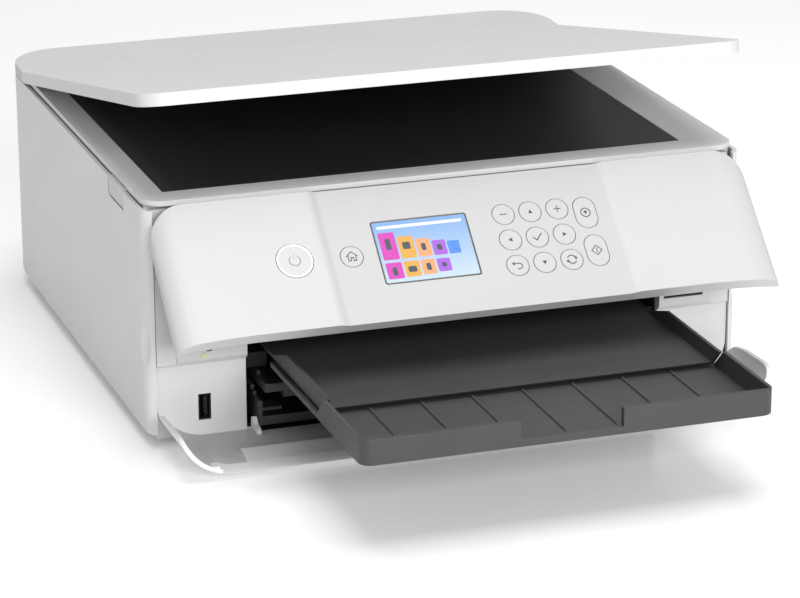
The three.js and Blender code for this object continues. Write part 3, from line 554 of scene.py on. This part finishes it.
def stroke(points, width, closed=False):
    """Outlines of the straight pieces of a printed line, each a little longer than its span."""
    ends = points[1:] + points[:1] if closed else points[1:]
    outlines = []
    for (u0, v0), (u1, v1) in zip(points, ends):
        along = Vector((u1 - u0, v1 - v0)).normalized()
        side = Vector((-along.y, along.x)) * width / 2
        reach = along * width * 0.3
        a = Vector((u0, v0)) - reach
        b = Vector((u1, v1)) + reach
        outlines.append([tuple(a + side), tuple(a - side), tuple(b - side), tuple(b + side)])
    return outlines


def rounded_box(u, v, half_u, half_v, radius):
    """Outline of a rectangle about (u, v) with rounded corners."""
    corners = [(1, 1, 0), (-1, 1, 90), (-1, -1, 180), (1, -1, 270)]
    points = []
    for side_u, side_v, start in corners:
        corner_u = u + side_u * (half_u - radius)
        corner_v = v + side_v * (half_v - radius)
        points += arc_points(corner_u, corner_v, radius, start, start + 90, 5)
    return points


LINE = 0.40  # width of a printed line before scaling
MARK_SCALE = 1.28


def icon_outlines(key):
    """The printed mark of a key as closed outlines about its middle, in millimetres."""
    plus_bar = [(0, -1.5), (0, 1.5)]
    flat_bar = [(-1.5, 0), (1.5, 0)]
    if key == "minus":
        return stroke(flat_bar, LINE)
    if key == "plus":
        return stroke(flat_bar, LINE) + stroke(plus_bar, LINE)
    triangle = [(-1.0, -0.8), (1.0, -0.8), (0, 1.1)]
    turns = {"up": 0, "left": 90, "down": 180, "right": 270}
    if key in turns:
        a = radians(turns[key])
        return [[(u * cos(a) - v * sin(a), u * sin(a) + v * cos(a)) for u, v in triangle]]
    if key == "ok":
        return stroke([(-2.0, 0.1), (-0.6, -1.5), (2.1, 1.6)], 0.5)
    if key == "back":
        hook = [(-1.7, 0.9), (0.6, 0.9)] + arc_points(0.6, -0.4, 1.3, 90, -90, 10) + [(-0.4, -1.7)]
        return stroke(hook, LINE) + [[(-2.5, 0.9), (-1.3, 1.9), (-1.3, -0.1)]]
    if key == "rotate":
        marks = stroke(arc_points(0, 0, 2.0, 20, 150), LINE)
        marks += stroke(arc_points(0, 0, 2.0, 200, 330), LINE)
        heads = [[(2.7, 0.9), (1.0, 1.2), (1.9, -0.3)], [(-2.7, -0.9), (-1.0, -1.2), (-1.9, 0.3)]]
        return marks + heads
    if key == "stop":
        circle = arc_points(0, 0, 2.1, 0, 360, 28)
        return stroke(circle, LINE) + [[(-1.0, 0.8), (1.0, 0.8), (0, -1.0)]]
    if key == "start":
        diamond = [(0, 2.3), (-2.3, 0), (0, -2.3), (2.3, 0)]
        return stroke(diamond, LINE, closed=True) + stroke([(0, -0.9), (0, 0.9)], LINE)
    if key == "home":
        roof = [(-2.5, 0.1), (0, 2.3), (2.5, 0.1)]
        left_wall = [(-1.7, 0.4), (-1.7, -2.0), (-0.6, -2.0), (-0.6, -0.5)]
        walls = left_wall + [(-u, v) for u, v in reversed(left_wall)]
        return stroke(roof, LINE) + stroke(walls, LINE)
    return stroke(arc_points(0, 0, 2.4, 125, 415, 24), LINE) + stroke([(0, 1.0), (0, 3.3)], LINE)


def panel_plane():
    """The control panel's front face: the press axis of its keys gives its slope."""
    into = Vector(JOINTS["key_ok_press"]["axis"]).normalized()
    up = Vector((1, 0, 0)).cross(into)
    corners = [NODES["panel_shell"].matrix_world @ c.co for c in NODES["panel_shell"].data.vertices]
    face = min(corner @ into for corner in corners)
    top = max(corner @ up for corner in corners)
    return Plane(into * face + up * top, (1, 0, 0), up)


KEY_NAMES = [
    "minus", "up", "plus", "left", "ok", "right", "back", "down", "rotate",
    "stop", "start", "home", "power",
]


def print_keys(panel):
    """The mark on each key, which rides on that key."""
    for key in KEY_NAMES:
        node = "key_" + key
        (u, v), _, top = panel.spot(node)
        outlines = []
        for outline in icon_outlines(key):
            outlines.append([(u + a * MARK_SCALE, v + b * MARK_SCALE) for a, b in outline])
        look = LOOKS["faint_ink" if key == "power" else "print_ink"]
        panel.slab(node + "_mark", outlines, top - 0.02, top + 0.03, look, node)


def light_power_ring(panel):
    """The lit ring just inside the edge of the power key."""
    centre, half, top = panel.spot("key_power")
    rim = half[0] - 0.3
    panel.ring("power_ring", centre, rim - 0.8, rim, top - 0.1, top + 0.06,
               LOOKS["ring_glow"], "key_power", soften=0.04 * MM)


# The menu, in millimetres from the page's lower left corner. Each tile is a colour, its middle
# and its half sizes; each dark mark on a tile is its own middle and half sizes.
MENU_ROUND = 0.9
MENU_TILES = [
    ("magenta", (6.2, 22.2), (4.6, 8.4)),
    ("amber", (16.2, 20.6), (4.4, 6.8)),
    ("peach", (25.6, 19.4), (4.0, 5.6)),
    ("violet", (34.4, 18.4), (3.8, 4.6)),
    ("azure", (42.6, 17.8), (3.4, 4.0)),
    ("magenta", (6.2, 7.0), (4.6, 5.0)),
    ("amber", (16.2, 7.2), (4.4, 4.8)),
    ("peach", (25.6, 7.4), (4.0, 4.6)),
    ("violet", (34.4, 7.6), (3.8, 4.0)),
]
MENU_MARKS = [
    ((6.2, 23.4), (1.5, 3.4)),
    ((16.2, 21.6), (2.2, 2.2)),
    ((25.6, 19.8), (1.3, 2.2)),
    ((34.4, 18.6), (1.4, 1.8)),
    ((6.2, 6.6), (1.3, 2.6)),
    ((16.2, 7.0), (2.4, 1.8)),
    ((25.6, 7.4), (1.3, 2.2)),
    ((34.4, 7.6), (1.3, 1.3)),
]
MENU_BAR = ((26.4, 33.8), (24.4, 0.92))


def show_menu(panel):
    """A plain menu on the colour screen: a sky-blue page with two rows of tiles and one bar."""
    (u, v), (half_u, half_v), top = panel.spot("lcd_screen")
    border = 0.7
    page = (half_u - border, half_v - border)
    paper = [rounded_box(u, v, *page, 0.3)]
    panel.slab("screen_page", paper, top - 0.02, top + 0.02, LOOKS["page"], "panel")
    left = u - page[0]
    base = v - page[1]

    def on_page(middle, half):
        return rounded_box(left + middle[0], base + middle[1], *half, MENU_ROUND)

    for number, (look, middle, half) in enumerate(MENU_TILES):
        tile = [on_page(middle, half)]
        panel.slab(f"menu_tile_{number}", tile, top, top + 0.05, LOOKS[look], "panel")
    marks = [on_page(middle, half) for middle, half in MENU_MARKS]
    panel.slab("menu_marks", marks, top + 0.04, top + 0.08, LOOKS["menu_dark"], "panel")
    panel.slab("menu_bar", [on_page(*MENU_BAR)], top, top + 0.06, LOOKS["menu_light"], "panel")


# Details of the casing, in millimetres.
LAMP_BEZEL = {"inner": 1.05, "outer": 1.85}
CARD_SLOT = ((140, 53.75), (11.85, 0.6))  # middle and half sizes on the fascia
CONTACT_STEPS = (-3.6, -1.2, 1.2, 3.6)  # from the middle of the memory-stick socket
PIN = {"from_middle": 3.3, "radius": 1.1}
SCREWS = ((-124, 16), (124, 16), (-124, 120), (124, 120))  # on the rear wall, seen from behind
SCREW = {"inner": 0.9, "outer": 2.7, "cross": 1.0}


def fit_front_details():
    """The lamp's bezel, the sensor window, the card slot's lining and the socket's tongue."""
    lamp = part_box("status_light")
    fascia = Plane((0, lamp[0].y + 0.4 * MM, 0), (1, 0, 0), (0, 0, 1))
    centre = ((lamp[0].x + lamp[1].x) / 2 / MM, (lamp[0].z + lamp[1].z) / 2 / MM)
    fascia.ring("lamp_bezel", centre, LAMP_BEZEL["inner"], LAMP_BEZEL["outer"], 0.1, 0.5,
                LOOKS["casing_white"], "base", soften=0.1 * MM)
    window = [rounded_box(centre[0] + 3.0, centre[1] + 3.0, 1.6, 0.7, 0.6)]
    fascia.slab("sensor_window", window, -0.2, 0.12, LOOKS["sensor_blue"], "base", soften=0.1 * MM)
    middle, half = CARD_SLOT
    card_slot = [rounded_box(*middle, *half, 0.3)]
    fascia.slab("card_slot_lining", card_slot, -5.0, -1.0, LOOKS["frame_black"], "base", soften=0.1 * MM)
    low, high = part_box("usb_port")
    x = (low.x + high.x) / 2 / MM
    z = (low.z + high.z) / 2 / MM
    socket = Plane((0, low.y, 0), (1, 0, 0), (0, 0, 1))
    tongue = [rounded_box(x + 0.9, z, 0.9, 5.6, 0.3)]
    socket.slab("usb_tongue", tongue, -13.0, -1.2, LOOKS["frame_black"], "base", soften=0.12 * MM)
    contacts = [rounded_box(x - 0.08, z + step, 0.06, 0.6, 0.05) for step in CONTACT_STEPS]
    socket.slab("usb_contacts", contacts, -11.0, -2.0, LOOKS["brass"], "base")


def fit_rear_details():
    """Pins in the mains inlet and the screws of the rear cover."""
    low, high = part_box("power_inlet")
    x = -(low.x + high.x) / 2 / MM
    z = (low.z + high.z) / 2 / MM
    rear = Plane((0, high.y, 0), (-1, 0, 0), (0, 0, 1))
    pins = [arc_points(x + side * PIN["from_middle"], z, PIN["radius"], 0, 345, 23) for side in (-1, 1)]
    rear.slab("inlet_pins", pins, -10.6, -2.5, LOOKS["brass"], "base", soften=0.2 * MM)
    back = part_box("case_rear")[1].y
    wall = Plane((0, back, 0), (-1, 0, 0), (0, 0, 1))
    reach = SCREW["cross"]
    for number, (u, v) in enumerate(SCREWS):
        wall.ring(f"screw_{number}", (u, v), SCREW["inner"], SCREW["outer"], -0.4, 0.3,
                  LOOKS["steel"], "base", soften=0.2 * MM)
        cross = stroke([(u - reach, v), (u + reach, v)], 0.5)
        cross += stroke([(u, v - reach), (u, v + reach)], 0.5)
        wall.slab(f"screw_cross_{number}", cross, -0.4, 0.05, LOOKS["steel"], "base")


# ---------- floor and light ----------
def make_floor():
    """A large pale floor, smooth enough to reflect the object faintly."""
    reach = 6.0
    mesh = bpy.data.meshes.new("floor")
    corners = [(-reach, -reach, 0), (reach, -reach, 0), (reach, reach, 0), (-reach, reach, 0)]
    mesh.from_pydata(corners, [], [(0, 1, 2, 3)])
    floor = bpy.data.objects.new("floor", mesh)
    bpy.context.scene.collection.objects.link(floor)
    s = Shader("floor")
    cloud = s.noise(0.8, detail=2.0)
    colour = s.blend(s.spread(cloud, 0.0, 1.0), rgb(0.90, 0.90, 0.905), rgb(0.92, 0.92, 0.92))
    mesh.materials.append(s.finish(colour, 0.16, Emission_Color=rgb(1.0, 1.0, 1.0), Emission_Strength=0.19))


def add_light(name, place, aim, size, power):
    """A white rectangular light at place, turned towards aim."""
    data = bpy.data.lights.new(name, "AREA")
    data.shape = "RECTANGLE"
    data.size, data.size_y = size
    data.energy = power
    light = bpy.data.objects.new(name, data)
    light.location = place
    light.rotation_mode = "QUATERNION"
    light.rotation_quaternion = (Vector(aim) - Vector(place)).to_track_quat("-Z", "Y")
    bpy.context.scene.collection.objects.link(light)


def make_light():
    """Even daylight all round, a key light from the front and one from above."""
    world = bpy.data.worlds.new("world")
    world.use_nodes = True
    sky = world.node_tree.nodes["Background"]
    sky.inputs["Color"].default_value = rgb(0.97, 0.98, 1.0)
    sky.inputs["Strength"].default_value = 0.33
    bpy.context.scene.world = world
    bpy.context.scene.view_settings.view_transform = "Standard"
    middle = (0.0, 0.0, 0.08)
    add_light("key", (0.15, -3.3, 1.35), middle, (2.0, 1.2), 88)
    add_light("top", (0.15, 0.0, 2.4), middle, (2.0, 1.8), 44)


for node, slot in slots_of_nodes().items():
    dress(node, slot)
    refine(node)
PANEL = panel_plane()
print_keys(PANEL)
light_power_ring(PANEL)
show_menu(PANEL)
fit_front_details()
fit_rear_details()
make_floor()
make_light()
